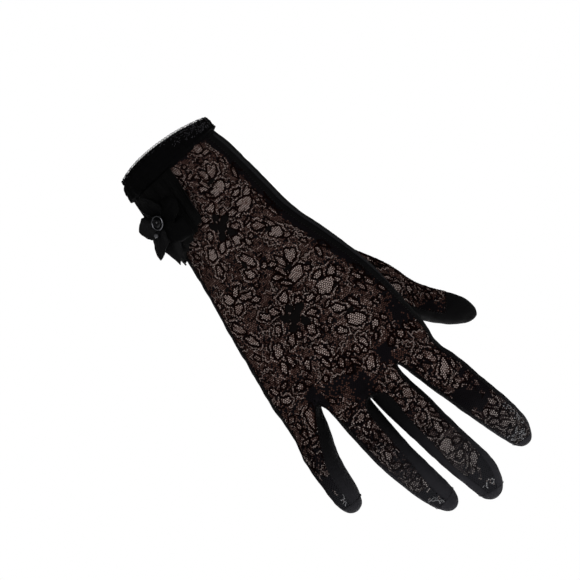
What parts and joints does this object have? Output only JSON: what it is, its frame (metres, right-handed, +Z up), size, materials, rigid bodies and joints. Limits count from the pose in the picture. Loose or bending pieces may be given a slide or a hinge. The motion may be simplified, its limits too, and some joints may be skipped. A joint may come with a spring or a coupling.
{
  "type": "lace glove",
  "caption": "Short right-hand dress glove of lace and stretch jersey, worn shape, with gathered cuff, ruffle and beaded flower at the wrist.",
  "frame": {"origin": "centre of the wrist opening, at the cuff's upper edge", "axes": "+Z up the arm, so that the fingers hang towards -Z; the back of the hand faces -Y; the thumb is on the +X side"},
  "size_m": [0.1121, 0.068, 0.2358],
  "materials": {
    "lace": "matt floral stretch lace",
    "jersey": "smooth stretch jersey with a slight sheen",
    "gathered_cloth": "gathered matt cloth",
    "edging": "picot elastic",
    "satin": "satin",
    "bead": "polished",
    "bead_ring": "polished dark metal"
  },
  "bodies": {
    "root": {"back_panel": "lace", "thumb_back": "lace", "palm_panel": "jersey", "thumb_front": "jersey", "fourchette_index_middle": "jersey", "fourchette_middle_ring": "jersey", "fourchette_ring_little": "jersey", "cuff_band": "gathered_cloth", "cuff_edging": "edging", "wrist_ruffle": "gathered_cloth", "petal_side": "satin", "petal_outer_low": "satin", "petal_low": "satin", "petal_inner_low": "satin", "petal_inner": "satin", "petal_up": "satin", "flower_bead": "bead", "seed_bead": "bead", "flower_bead_ring": "bead_ring"}
  },
  "joints": []
}
